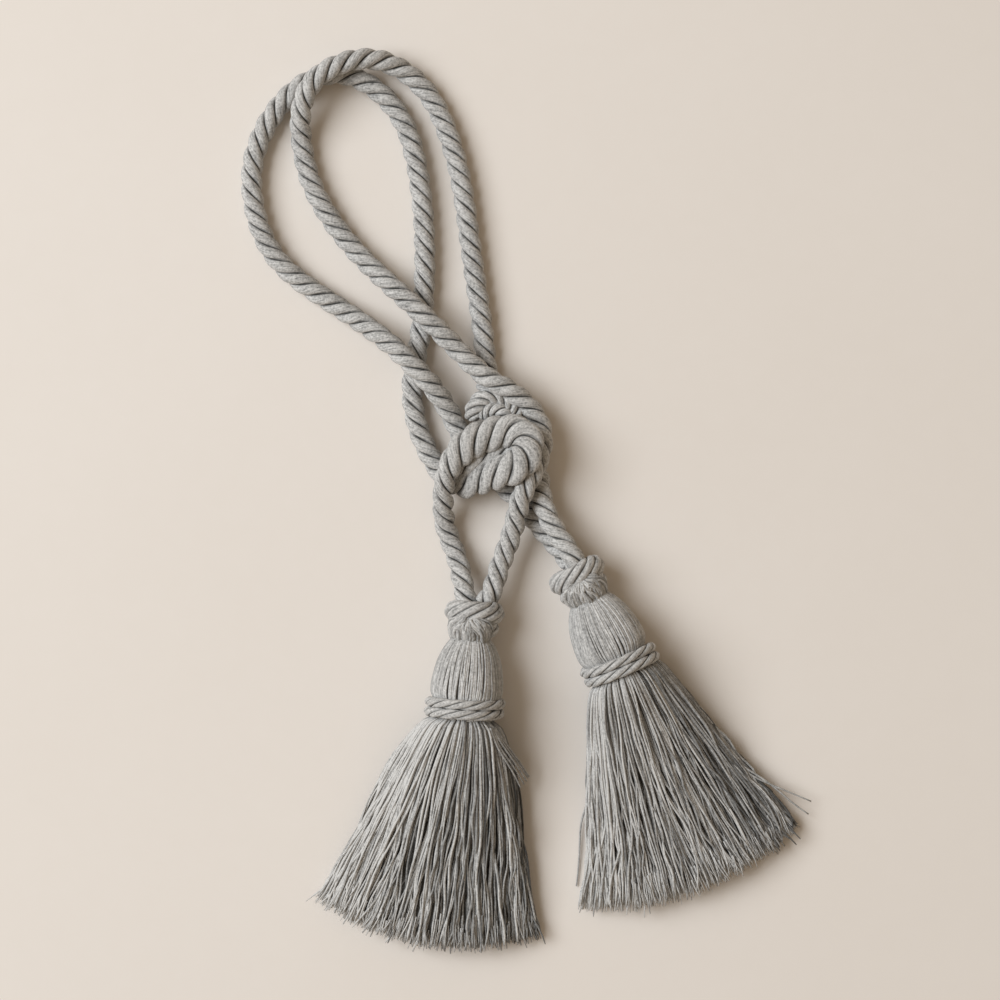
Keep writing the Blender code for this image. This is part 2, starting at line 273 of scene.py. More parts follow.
def tube_faces(copies, rings, around):
    """Quads of many closed tubes, laid out as (copies, rings, around), and their ring corners.

    Each tube's two end centres follow all the rings: first every start, then every end.
    Returns quads, triangles, and for each quad corner its row and its column, unwrapped.
    """
    copy = (np.arange(copies) * rings * around)[:, None, None]
    row = np.arange(rings - 1)[None, :, None]
    column = np.arange(around)[None, None, :]
    following = (column + 1) % around
    near = copy + row * around
    far = near + around
    quads = np.stack([near + column, far + column, far + following, near + following], -1)
    shape = (copies, rings - 1, around)
    rows = np.stack([np.broadcast_to(row + shift, shape) for shift in (0, 1, 1, 0)], -1)
    columns = np.stack([np.broadcast_to(column + shift, shape) for shift in (0, 0, 1, 1)], -1)
    first = copy[:, 0] + column[0]
    second = copy[:, 0] + following[0]
    last = (rings - 1) * around
    centre = copies * rings * around + np.arange(copies)[:, None]
    start = np.stack([first, second, np.broadcast_to(centre, first.shape)], -1)
    end = np.stack([second + last, first + last, np.broadcast_to(centre + copies, first.shape)], -1)
    triangles = np.concatenate([start.reshape(-1, 3), end.reshape(-1, 3)])
    return quads.reshape(-1, 4), triangles, rows.reshape(-1, 4), columns.reshape(-1, 4)


def write_mesh(name, vertices, quads, triangles, corner_uv, shade):
    """A smooth mesh piece from arrays, with its UV map and its yarn shade attribute."""
    mesh = bpy.data.meshes.new(name)
    mesh.vertices.add(len(vertices))
    mesh.vertices.foreach_set("co", np.asarray(vertices, dtype=np.float32).ravel())
    corners = np.concatenate([quads.ravel(), triangles.ravel()]).astype(np.int32)
    mesh.loops.add(len(corners))
    mesh.loops.foreach_set("vertex_index", corners)
    totals = np.concatenate([np.full(len(quads), 4), np.full(len(triangles), 3)])
    starts = np.concatenate([[0], np.cumsum(totals)[:-1]])
    mesh.polygons.add(len(totals))
    mesh.polygons.foreach_set("loop_start", starts.astype(np.int32))
    mesh.polygons.foreach_set("use_smooth", np.ones(len(totals), dtype=bool))
    mesh.update(calc_edges=True)
    layer = mesh.uv_layers.new(name="yarn")
    layer.data.foreach_set("uv", np.asarray(corner_uv, dtype=np.float32).ravel())
    attribute = mesh.attributes.new("shade", "FLOAT", "POINT")
    attribute.data.foreach_set("value", np.asarray(shade, dtype=np.float32).ravel())
    mesh.validate()
    piece = bpy.data.objects.new(name, mesh)
    bpy.context.scene.collection.objects.link(piece)
    return piece


def tube_arrays(paths, radii, turns, upward, shade, widen=1.0):
    """Everything write_mesh needs for many tubes, with U round each tube and V along it."""
    copies, rings = paths.shape[:2]
    around = turns.shape[-1]
    points = tube_points(paths, radii, turns, upward, widen)
    quads, triangles, rows, columns = tube_faces(copies, rings, around)
    vertices = np.concatenate([points.reshape(-1, 3), paths[:, 0], paths[:, -1]])
    along = lengths_along(paths)
    copy = quads[:, 0] // (rings * around)
    quad_uv = np.stack([columns / around + 3.7 * copy[:, None], along[copy[:, None], rows]], -1)
    cap_uv = np.zeros((triangles.size, 2))
    shade = np.broadcast_to(shade, (copies, rings, around))
    ends = np.concatenate([shade[:, 0, 0], shade[:, -1, 0]])
    shades = np.concatenate([shade.reshape(-1), ends])
    return vertices, quads, triangles, np.concatenate([quad_uv.reshape(-1, 2), cap_uv]), shades


def ring_arrays(rings, centres, shade):
    """Everything write_mesh needs for one closed body of rings, with its two end centres."""
    count, around = rings.shape[:2]
    quads, triangles, rows, columns = tube_faces(1, count, around)
    vertices = np.concatenate([rings.reshape(-1, 3), centres])
    quad_uv = np.stack([columns / around, rows * 0.004], -1).reshape(-1, 2)
    corner_uv = np.concatenate([quad_uv, np.zeros((triangles.size, 2))])
    return vertices, quads, triangles, corner_uv, np.full(len(vertices), shade)


def joined(parts):
    """Several sets of tube arrays as one set."""
    vertices, quads, triangles, uvs, shades = zip(*parts)
    bases = np.cumsum([0] + [len(each) for each in vertices[:-1]])
    quad_uvs = [uv[:each.size] for uv, each in zip(uvs, quads)]
    cap_uvs = [uv[each.size:] for uv, each in zip(uvs, quads)]
    return (np.concatenate(vertices),
            np.concatenate([each + base for each, base in zip(quads, bases)]),
            np.concatenate([each + base for each, base in zip(triangles, bases)]),
            np.concatenate(quad_uvs + cap_uvs), np.concatenate(shades))


def even_angles(count):
    """Angles of count points round a plain round tube."""
    return np.linspace(0.0, 2 * math.pi, count, endpoint=False)


# ---------------------------------------------------------------- shader maths

class Signal:
    """A shader socket that can stand in a Python sum; each operation adds a Math node."""

    def __init__(self, tree, socket):
        self.tree = tree
        self.socket = socket

    def _math(self, operation, first, second):
        node = self.tree.nodes.new("ShaderNodeMath")
        node.operation = operation
        for slot, value in zip(node.inputs, (first, second)):
            if isinstance(value, Signal):
                self.tree.links.new(value.socket, slot)
            else:
                slot.default_value = value
        return Signal(self.tree, node.outputs[0])

    def __add__(self, other):
        return self._math("ADD", self, other)

    __radd__ = __add__

    def __sub__(self, other):
        return self._math("SUBTRACT", self, other)

    def __rsub__(self, other):
        return self._math("SUBTRACT", other, self)

    def __mul__(self, other):
        return self._math("MULTIPLY", self, other)

    __rmul__ = __mul__


class Finish:
    """A material and the one method that adds any other node to it."""

    def __init__(self, name):
        self.material = bpy.data.materials.new(name)
        self.material.use_nodes = True
        self.tree = self.material.node_tree
        self.shader = self.tree.nodes["Principled BSDF"]

    def node(self, kind, settings=None, inputs=None, output=0):
        """Add a node: its settings first, then its socket values or links."""
        node = self.tree.nodes.new(kind)
        for name, value in (settings or {}).items():
            setattr(node, name, value)
        for name, value in (inputs or {}).items():
            self.feed(node.inputs[name], value)
        return Signal(self.tree, node.outputs[output])

    def feed(self, socket, value):
        """Link a signal to a socket, or set a plain value on it."""
        if isinstance(value, Signal):
            self.tree.links.new(value.socket, socket)
        else:
            socket.default_value = value

    def blend(self, factor, dark, light):
        """A colour between dark and light."""
        return self.node("ShaderNodeMix", {"data_type": "RGBA"},
                         {0: factor, 6: (*dark, 1.0), 7: (*light, 1.0)}, 2)

    def surface(self, **values):
        """Feed the shader's own sockets, named with underscores for spaces."""
        for name, value in values.items():
            self.feed(self.shader.inputs[name.replace("_", " ")], value)
        return self.material


def fibre_finish(name, kind, settings):
    """Spun cotton: streaks of fibre along the yarn, and a tone of its own for each yarn.

    The streaks are noise stretched along V.  The shade attribute runs from dark yarns and
    painted shade, in the cords' grooves and deep among the skirts' yarns, to crests and light
    ones; on the skirts it also holds painted light, lighter on the left and darker on the right.
    """
    fibres = FIBRES[kind]
    contrast = fibres["contrast"]
    finish = Finish(name)
    uv = finish.node("ShaderNodeUVMap", {"uv_map": "yarn"})
    stretched = finish.node("ShaderNodeMapping", {}, {
        "Vector": uv, "Scale": (fibres["around"], 1.0 / fibres["length"], 1.0)})
    streaks = finish.node("ShaderNodeTexNoise", {"noise_dimensions": "2D"}, {
        "Vector": stretched, "Scale": 1.0, "Detail": 3.0, "Roughness": 0.65})
    place = finish.node("ShaderNodeTexCoord", {}, {}, "Object")
    fuzz = finish.node("ShaderNodeTexNoise", {}, {
        "Vector": place, "Scale": 950.0, "Detail": 3.0, "Roughness": 0.65})
    patches = finish.node("ShaderNodeTexNoise", {}, {
        "Vector": place, "Scale": 45.0, "Detail": 2.0, "Roughness": 0.5})
    shade = finish.node("ShaderNodeAttribute", {"attribute_name": "shade"}, {}, "Fac")
    mottle = (streaks - 0.5) * contrast + (fuzz - 0.5) * (contrast * 1.2) + (patches - 0.5) * 0.3
    tone = shade * (1.0 + mottle)
    bump = finish.node("ShaderNodeBump", {}, {
        "Strength": 0.6, "Distance": fibres["relief"], "Height": streaks * 0.7 + fuzz * 0.5})
    return finish.surface(
        Base_Color=finish.blend(tone, settings.yarn_dark, settings.yarn_light),
        Roughness=0.82 + 0.12 * streaks, Normal=bump,
        Sheen_Weight=0.1, Sheen_Roughness=0.5, Specular_IOR_Level=0.2)


def floor_finish(settings):
    """A pale warm plaster-like floor, faintly uneven."""
    finish = Finish("Pale floor")
    place = finish.node("ShaderNodeTexCoord", {}, {}, "Object")
    wide = finish.node("ShaderNodeTexNoise", {}, {
        "Vector": place, "Scale": 5.5, "Detail": 3.0, "Roughness": 0.5})
    fine = finish.node("ShaderNodeTexNoise", {}, {
        "Vector": place, "Scale": 90.0, "Detail": 3.0, "Roughness": 0.6})
    tone = wide * 0.7 + fine * 0.3
    return finish.surface(
        Base_Color=finish.blend(tone, settings.floor_dark, settings.floor_light),
        Roughness=0.9, Specular_IOR_Level=0.1)


# ---------------------------------------------------------------- the parts' shapes

def tassel_to_world(name, points):
    """Tassel coordinates (x across, y back towards its knot, z up) placed in the model."""
    tassel = TASSELS[name]
    turn = math.radians(tassel["turn"])
    x = points[..., 0] * math.cos(turn) - points[..., 1] * math.sin(turn)
    y = points[..., 0] * math.sin(turn) + points[..., 1] * math.cos(turn)
    shift = np.array([*tassel["knot"], 0.0]) - LAYOUT_MIDDLE
    return np.stack([x, y, points[..., 2]], -1) + shift


def placed(name, arrays):
    """A tassel's arrays with their points moved from its own coordinates into the model."""
    points, *others = arrays
    return tassel_to_world(name, points), *others


def uneven(along, wavelength, seed):
    """A smooth uneven run between about -1 and 1: three sines of random phase, summed."""
    draw = np.random.default_rng(seed)
    waves = [np.sin(2 * math.pi * (along / (wavelength * factor) + draw.random()))
             for factor in (1.0, 0.61, 0.37)]
    return sum(waves) / 2.1


def laid_cord_arrays(path, radius, lay, around, seed, upward=UPWARD, widen=1.0, strands=3):
    """Strands laid together round a path, left-handed where the lay is positive.

    Round the cord the surface is the outline of its round strands: with t the angle from
    the nearest strand's crest, radius = c cos(t) + sqrt(s^2 - c^2 sin^2(t)), where c is a
    strand centre's distance and s its radius, less a narrow slit where two strands meet.
    The lay is how many turns the strands have made along the path, or the length of one
    turn; slits and strands vary a little along the cord.
    """
    centre_share = 0.34 if strands == 3 else 0.5
    share = math.pi / strands
    base = share + even_angles(around)
    from_crest = np.mod(base + share, 2 * share) - share
    outline = centre_share * np.cos(from_crest) + np.sqrt(
        (1 - centre_share) ** 2 - (centre_share * np.sin(from_crest)) ** 2)
    along = lengths_along(path)
    strand = (np.arange(around) * strands) // around
    closest = np.round(np.arange(around) * strands / around).astype(int) % strands
    swell = np.stack([uneven(along, 23 * MM, seed + number) for number in range(strands)], -1)
    gape = np.stack([uneven(along, 17 * MM, seed + 9 + number) for number in range(strands)], -1)
    slit_width = math.radians(8.5) * (1 + 0.25 * gape[:, closest]) * 3 / strands
    slit = np.exp(-(((np.abs(from_crest) - share) / slit_width) ** 2))
    radii = radius * (outline * (1 + 0.012 * swell[:, strand]) - 0.17 * slit)
    laid = lay if np.ndim(lay) else along / lay
    turns = base[None, :] + 2 * math.pi * laid[:, None] + 0.03 * uneven(
        along, 31 * MM, seed + 7)[:, None]
    # Painted shade: the colour darkens in the slits where two strands meet.
    shade = 0.75 * (1 - (0.92 + 0.07 * gape[:, closest]) * slit) + 0.03 * swell[:, strand]
    return tube_arrays(path[None], radii[None], turns[None], upward, shade[None], widen)


def add_cord(name, node, route, flat_place, flatness, seed, settings, knob=None):
    """One of the two twisted cords, from inside the left top knot to inside the right one.

    The knot squashes it between two of the route's points: wider by flatness, easing in and
    out as tanh over a centimetre or so.  At the knob, another of the route's points, it
    bunches up, thicker by a bell curve and more tightly laid.
    """
    points = np.array(route)
    tails = []
    for point, end in ((points[0], "left"), (points[-1], "right")):
        inward = unit(np.array([*TASSELS[end]["knot"], TOP_KNOT_HEIGHT]) - point)
        tails.append(point + inward * CORD_INTO_KNOT)
    line = smooth_curve(np.vstack([tails[0], points, tails[1]]), 4000) - LAYOUT_MIDDLE
    path = even_steps(line, (1.0) * MM)
    along = lengths_along(path)

    def place_of(number):
        """How far along the cord one of the route's points is."""
        mark = points[number] - LAYOUT_MIDDLE
        return along[np.argmin(np.linalg.norm(path - mark, axis=1))]

    start, stop = [place_of(number) for number in flat_place]
    ease = 6 * MM
    squash = 1 + flatness * 0.5 * (np.tanh((along - start) / ease) - np.tanh((along - stop) / ease))
    radius = np.full(len(path), CORD_DIAMETER / 2)
    lay = along / settings.cord_lay
    if knob is not None:
        beyond = (along - place_of(knob)) / (9 * MM)
        radius += KNOB_THICKER * np.exp(-((beyond - 0.4) ** 2))
        lay += 0.5 * np.tanh(beyond)
    arrays = laid_cord_arrays(path, radius[:, None], lay, 96, seed, widen=squash[None])
    arrays[0][:, 2] = np.maximum(arrays[0][:, 2], 0.0)
    piece = write_mesh(name, *arrays)
    piece.data.materials.append(fibre_finish(name, "cord", settings))
    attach(piece, "root")
    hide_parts(node)
    return piece


def add_knot_folds(settings):
    """The folds of cord that show between the turns of the knot.

    One goes across its middle, and two are bunched up at its top where the cords go in.
    Towards its ends a fold thins as the square root of what is left of a rounded end.
    """
    parts = []
    for fold in KNOT_FOLDS:
        curve = smooth_curve(fold["route"]) - LAYOUT_MIDDLE
        path = even_steps(curve, (0.7) * MM)
        along = lengths_along(path)
        ends = np.minimum(along, along[-1] - along) / (5 * MM)
        radius = fold["radius"] * np.sqrt(1 - (1 - np.clip(ends, 0.0, 1.0)) ** 2 * 0.6)
        parts.append(laid_cord_arrays(path, radius[:, None], fold["pitch"], 72, fold["seed"],
                                      strands=fold["strands"]))
    piece = write_mesh("knot_folds", *joined(parts))
    piece.data.materials.append(fibre_finish("knot_folds", "folds", settings))
    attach(piece, "root")
    return piece


def tassel_piece(name, node, arrays, finish):
    """A finished part of a tassel."""
    piece = write_mesh(name, *arrays)
    piece.data.materials.append(finish)
    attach(piece, "root")
    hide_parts(node)
    return piece


def round_shell(sections, around, shade):
    """A closed body of elliptical rings across the tassel's axis, one shade all over.

    sections has rows of place along the axis, half width, height of the middle, and half
    height; a ring's point at angle a is (width * sin(a), height + half height * cos(a)).
    """
    sections = np.array(sections)
    angles = even_angles(around)
    x = sections[:, 1:2] * np.sin(angles)
    z = sections[:, 2:3] + sections[:, 3:4] * np.cos(angles)
    y = np.broadcast_to(-sections[:, 0:1], x.shape)
    rings = np.stack([x, y, z], -1)
    ends = sections[[0, -1]]
    centres = np.stack([0 * ends[:, 0], -ends[:, 0], ends[:, 2]], -1)
    return ring_arrays(rings, centres, shade)


def collar_arrays(name, settings):
    """The top knot: a thick cord of six strands twice round, with yarns fanning over it.

    The fine yarns start together at the middle of the front, fan apart over the lower turn,
    and turn in to the head.
    """
    tassel = TASSELS[name]
    draw = np.random.default_rng(tassel["draw"] + 2)
    height = TOP_KNOT_HEIGHT
    cord_radius = settings.top_knot_cord / 2
    wind = np.linspace(-0.2 * math.pi, 4.2 * math.pi, 400)
    lower = 0.5 + 0.5 * np.tanh((wind / math.pi - 2) / 0.35)
    ring = TOP_KNOT_RADIUS - 0.3 * MM - cord_radius - 2.1 * MM * lower
    along = -4.0 * MM + 7.2 * MM * lower + tassel["collar_slope"] * MM * np.sin(wind)
    circle = np.stack([-ring * np.sin(wind), -along, height - ring * np.cos(wind)], -1)
    turn = math.radians(tassel["turn"])
    outward = np.stack([-np.sin(wind) * math.cos(turn), -np.sin(wind) * math.sin(turn),
                        -np.cos(wind)], -1)
    cord = laid_cord_arrays(tassel_to_world(name, circle), cord_radius, 31 * MM, 84,
                            tassel["draw"] + 31, outward[None], strands=6)
    count = TOP_KNOT_YARNS
    run = np.linspace(0.0, 1.0, 16)[None, :]
    where = np.linspace(-1.0, 1.0, count)[:, None] + draw.normal(0.0, 0.03, (count, 1))
    azimuth = tassel["fan"] + where * (0.22 + tassel["fan_width"] * run ** 0.8)
    azimuth += draw.normal(0.0, 0.06, (count, 1)) * np.sin(2 * math.pi * run)
    along = (-0.4 + 10.0 * run) * MM + draw.normal(0.0, 0.8 * MM, (count, 1))
    along -= 2.2 * MM * np.abs(where) * np.sin(math.pi * run)
    bulge = np.interp(run, [0.0, 0.12, 0.32, 0.6, 0.82, 1.0], [0.5, 0.9, 1.0, 0.78, 0.45, 0.0])
    yarn = draw.uniform(0.45, 0.95, (count, 1)) * MM * (0.7 + 0.3 * run)
    reach = 8.4 * MM + 5.3 * MM * bulge - draw.uniform(0.0, 1.2, (count, 1)) * MM
    points = np.stack([reach * np.sin(azimuth), -along + 0 * azimuth,
                       height + reach * np.cos(azimuth)], -1)
    radial = np.stack([np.sin(azimuth), 0 * azimuth, np.cos(azimuth)], -1)
    turns = even_angles(6) + math.pi
    fine = tube_arrays(points, (yarn + 0 * run)[:, :, None], turns, radial,
                       draw.uniform(0.5, 1.05, (count, 1, 1)))
    # A core inside the top knot, painted dark as the shade between its turns and yarns.
    inside = []
    for latitude in np.linspace(-1.4, 1.4, 15):
        inner = 11.0 * MM * math.cos(latitude)
        inside.append((8.6 * MM * math.sin(latitude), inner, height, inner))
    core = round_shell(inside, 32, 0.25)
    return joined([cord, placed(name, fine), placed(name, core)])


def head_arrays(name):
    """Yarns side by side over the head, from inside the top knot to inside the binding."""
    draw = np.random.default_rng(TASSELS[name]["draw"])
    count = HEAD_YARNS
    rings = 22
    run = np.linspace(0.0, 1.0, rings)
    along = HEAD_SECTIONS[0][0] + run * (HEAD_SECTIONS[-1][0] - HEAD_SECTIONS[0][0])
    reach = read_table(HEAD_SECTIONS, HEAD_RADIUS, along)
    height = read_table(HEAD_SECTIONS, HEAD_HEIGHT, along)
    angle = even_angles(count) + draw.normal(0.0, 0.014, count)
    drift = draw.normal(0.0, 0.045, (count, 1)) * (run[None, :] - 0.5)
    wave = draw.normal(0.0, 0.010, (count, 1)) * np.sin(
        2 * math.pi * (run[None, :] * draw.uniform(0.8, 2.2, (count, 1))
                       + draw.random((count, 1))))
    angles = angle[:, None] + drift + wave
    yarn = draw.uniform(0.48, 0.66, (count, 1)) * MM
    sink = draw.uniform(0.0, 0.40, (count, 1)) * MM
    out = reach[None, :] - yarn - sink
    paths = np.stack([out * np.sin(angles), np.broadcast_to(-along, angles.shape),
                      height[None, :] + out * np.cos(angles)], -1)
    outward = np.stack([np.sin(angles), 0 * angles, np.cos(angles)], -1)
    turns = even_angles(6) + math.pi
    shade = draw.normal(0.73, 0.09, (count, 1, 1))
    radii = np.broadcast_to(yarn[:, :, None], (count, rings, 1))
    yarns = tube_arrays(paths, radii, turns, outward, shade)
    # A core under the yarns, painted dark as the shade in the gaps between them.
    inner = [(place, radius - 1.3 * MM, z, radius - 1.3 * MM) for place, radius, z in HEAD_SECTIONS]
    core = round_shell(inner, 40, 0.22)
    return joined([placed(name, yarns), placed(name, core)])


def binding_arrays(name, settings):
    """A thin laid cord taken twice round the neck as a helix, its ends underneath."""
    cord_radius = settings.binding_cord / 2
    tassel = TASSELS[name]
    wind = np.linspace(0.0, 4 * math.pi, 420)
    climb = tassel["binding_slope"] * BINDING_CLIMB * (wind / (2 * math.pi) - 1.0)
    along = tassel["binding_place"] + climb
    reach = NECK_RADIUS + cord_radius
    path = np.stack([-reach * np.sin(wind), -along, BINDING_HEIGHT - reach * np.cos(wind)], -1)
    path = even_steps(tassel_to_world(name, path), (0.55) * MM)
    axis = tassel_to_world(name, np.array([0.0, -1.0, 0.0])) - tassel_to_world(name, np.zeros(3))
    middle = tassel_to_world(name, np.array([0.0, -tassel["binding_place"], BINDING_HEIGHT]))
    outward = path - middle
    outward = unit(outward - (outward @ axis)[:, None] * axis)
    return laid_cord_arrays(path, cord_radius, tassel["binding_pitch"], 48, tassel["draw"] + 51,
                            outward[None])


def skirt_place(name, side, part, depth, length):
    """Where a yarn of the skirt is, in tassel coordinates.

    side runs from -1 at the left edge to 1 at the right, part from 0 at the binding to 1 at
    the tip, and depth from 0 on top to 1 underneath.  The yarn leans straight out from the
    binding, bulging a little just below it; across the skirt its height follows half an
    ellipse, sqrt(1 - side^2).
    """
    tassel = TASSELS[name]
    half = (tassel["lean_right"] - tassel["lean_left"]) / 2
    lean = np.radians((tassel["lean_right"] + tassel["lean_left"]) / 2 + half * side)
    inside = np.clip(side, -1.0, 1.0)
    root = 16.5 * MM * (1 - part) - 3.4 * MM * np.exp(-part / 0.018)
    bulge = tassel["bulge"] * part * np.clip(1 - part, 0.0, 1.0) ** 3 / 0.105
    x = length * np.sin(lean) * part + side * (root + bulge)
    y = -(SKIRT_START + length * np.cos(lean) * part)
    within = np.clip(part, 0.0, 1.0)
    edge = read_table(SKIRT_SECTIONS, SKIRT_EDGE, within)
    rise = read_table(SKIRT_SECTIONS, SKIRT_RISE, within) - 0.6 * MM
    fall = read_table(SKIRT_SECTIONS, SKIRT_FALL, within) - 0.6 * MM
    dome = np.sqrt(np.maximum(1 - inside**2, 0.0))
    z = edge + ((1 - depth) * rise - depth * fall) * dome
    return np.stack([x, y, z], -1)


def skirt_core_arrays(name):
    """The closed body beneath the yarns, following them a little way in, painted dark as the shade in
    the gaps between them.
    """
    part = np.linspace(0.0, 0.95, 24)
    angle = even_angles(48)
    side = 0.92 * np.sin(angle)[None, :] + 0 * part[:, None]
    depth = 0.5 - 0.36 * np.cos(angle)[None, :] + 0 * part[:, None]
    rings = skirt_place(name, side, part[:, None] + 0 * side, depth, TASSELS[name]["yarn_length"])
    rings[..., 2] = np.maximum(rings[..., 2], 1.2 * MM)
    return placed(name, ring_arrays(rings, rings[[0, -1]].mean(1), 0.16))


def loose_yarns(name, draw, count, depths, rings, around, thick, locks):
    """One sheet of the skirt's yarns, gathering into locks and wandering towards their tips.

    locks holds four fields of the locks: place across, extra length, size and phase of wave.
    """
    tassel = TASSELS[name]
    length = tassel["yarn_length"]
    middles = locks[0]
    spread = np.linspace(-1.0, 1.0, count) + draw.normal(0.0, 2.5 / count, count)
    root = np.sin(np.clip(spread, -1, 1) * 1.42) / math.sin(1.42)
    family = draw.integers(0, len(middles), count)
    nearest = np.argmin(np.abs(root[:, None] - middles[family]), axis=1)
    middle, reach, wave, phase = [field[family, nearest][:, None] for field in locks]
    drift = draw.normal(0.0, 0.04, (count, 1)) * np.where(draw.random((count, 1)) < 0.2, 2.6, 1.0)
    root = root[:, None]
    tip = root + draw.uniform(0.1, 0.8, (count, 1)) * (middle - root) + drift
    tip = np.clip(tip, -0.98, 0.97) + draw.normal(0.0, 0.012, (count, 1))
    own = length + reach + draw.normal(0.0, 1.4 * MM, (count, 1))
    own += tassel["longer_left"] * np.clip(-tip, 0.0, 1.0)
    own -= np.where(draw.random((count, 1)) < 0.10, draw.uniform(3.0, 16.0, (count, 1)), 0.0) * MM
    part = np.linspace(0.0, 1.0, rings)[None, :] * own / length
    side = root + (tip - root) * np.minimum(part, 1.0) ** 1.2
    loose = np.clip(part, 0.0, 1.0) ** 0.65

    def ripple(size, slowest, fastest):
        """Each yarn's own sine along its length, growing as it comes loose."""
        beat = draw.uniform(slowest, fastest, (count, 1))
        return loose * draw.normal(0.0, size, (count, 1)) * np.sin(
            2 * math.pi * (beat * part + draw.random((count, 1))))

    shared = loose * wave * np.sin(2 * math.pi * (1.1 * part + phase))
    splay = np.clip((part - 0.84) / 0.16, 0.0, 1.3) ** 2 * draw.normal(0.0, 1.0 * MM, (count, 1))
    shift = shared + splay + ripple(1.0 * MM, 0.7, 1.9) + ripple(0.55 * MM, 2.5, 6.0)
    lift = ripple(0.9 * MM, 0.7, 2.0) + ripple(0.5 * MM, 2.5, 6.0) - 0.4 * MM
    yarn = draw.uniform(0.6, 1.2, (count, 1)) * thick * (
        1.0 - 0.22 * part - 0.14 * np.exp(-part / 0.06)) * (
        1 - 0.5 * np.exp(-(part[:, -1:] - part) / 0.02))
    depth = draw.uniform(depths[0], depths[1], (count, 1)) + 0 * part
    # Painted shade: yarns deeper in the skirt are painted darker, less so near their tips.  Painted
    # light and shade across the skirt: yarns on the left, towards the window light, are painted
    # lighter and those on the right darker.  Each yarn's own tone is random.
    painted_depth_shade = np.clip(depth, 0.0, 0.35) * (1 - 0.75 * np.clip((part - 0.75) / 0.2, 0.0, 1.0))
    shade = draw.normal(0.72, 0.20, (count, 1)) * (1 - 2.2 * painted_depth_shade)
    shade = np.clip(tassel["tone"] * shade - tassel["painted_side_light"] * side, 0.12, 1.1)
    points = skirt_place(name, side, part, depth, length)
    points[..., 0] += shift
    points[..., 2] = np.maximum(points[..., 2] + lift, yarn + FLOOR_CLEARANCE)
    turns = even_angles(around) + math.pi
    return placed(name, tube_arrays(points, yarn[..., None], turns, UPWARD, shade[..., None]))


def stray_arrays(name):
    """Single yarns that have come away from the skirt, each along its own given line."""
    paths = []
    for line in STRAYS[name]:
        curve = smooth_curve(line, 200) * MM
        paths.append(even_steps(curve, lengths_along(curve)[-1] / 23.5)[:24])
    paths = np.array(paths)
    taper = np.linspace(1.0, 0.55, paths.shape[1])
    turns = even_angles(5) + math.pi
    radii = (0.62 * MM * taper)[None, :, None]
    return placed(name, tube_arrays(paths, radii, turns, UPWARD, np.full((1, 1, 1), 0.62)))


def fringe_arrays(name, draw, count):
    """Thin frayed ends that fill the thickness of the skirt at its tips."""
    tassel = TASSELS[name]
    length = tassel["yarn_length"]
    begin = draw.uniform(0.84, 0.95, (count, 1))
    finish = 1.0 + draw.normal(0.0, 0.014, (count, 1))
    run = np.linspace(0.0, 1.0, 5)[None, :]
    side = draw.uniform(-1.0, 1.0, (count, 1))
    finish += tassel["longer_left"] / length * np.clip(-side, 0.0, 1.0)
    part = begin + (finish - begin) * run
    side = side + 0 * part
    depth = draw.uniform(0.0, 1.0, (count, 1)) ** 1.3 + 0 * part
    points = skirt_place(name, side, part, depth, length)
    points[..., 0] += draw.normal(0.0, 1.3 * MM, (count, 1)) * run**2
    points[..., 2] += draw.normal(0.0, 0.8 * MM, (count, 1)) * run**2
    yarn = draw.uniform(0.22, 0.42, (count, 1)) * MM * (1 - 0.5 * run)
    points[..., 2] = np.maximum(points[..., 2], yarn + FLOOR_CLEARANCE)
    # Painted shade: ends deeper in the skirt are painted a little darker.  Painted light and shade
    # across: ends on the left, towards the window light, are painted lighter and those on the right
    # darker.
    shade = draw.normal(0.80, 0.12, (count, 1)) * (1 - 0.2 * depth)
    shade = tassel["tone"] * shade - 0.7 * tassel["painted_side_light"] * side
    turns = even_angles(4)
    return placed(name, tube_arrays(points, yarn[..., None], turns, UPWARD, shade[..., None]))


def skirt_arrays(name, settings):
    """The fan of loose yarns below the binding, in sheets and locks, over a closed body.

    The sheets are rows of how many yarns, from what depth to what, their rings and sides, and
    their thickness as a part of the top sheet's.
    """
    draw = np.random.default_rng(TASSELS[name]["draw"] + 1)
    shape = (LOCK_FAMILIES, LOCKS_EACH)
    locks = (np.linspace(-1.03, 1.03, shape[1]) + draw.normal(0.0, 0.05, shape),
             draw.normal(0.0, 1.4 * MM, shape), draw.normal(0.0, 1.9 * MM, shape),
             draw.random(shape))
    share = 1.0
    rings = 30
    sheets = [(330, (0.0, 0.18), rings, 5, 1.0),
              (190, (0.12, 0.35), rings // 2, 4, 0.96875),
              (150, (0.55, 1.0), rings // 2, 4, 0.9375)]
    parts = [skirt_core_arrays(name)]
    for yarns, depths, steps, around, thinner in sheets:
        thick = settings.yarn_thickness / 2 * thinner
        count = int(yarns * share)
        parts.append(loose_yarns(name, draw, count, depths, steps, around, thick, locks))
    parts.append(fringe_arrays(name, draw, int(FRINGE_ENDS * share)))
    parts.append(stray_arrays(name))
    return joined(parts)


# ---------------------------------------------------------------- building each group

def plain_object(name, data, location=(0.0, 0.0, 0.0)):
    """Link an object into the scene."""
    item = bpy.data.objects.new(name, data)
    item.location = location
    bpy.context.scene.collection.objects.link(item)
    return item


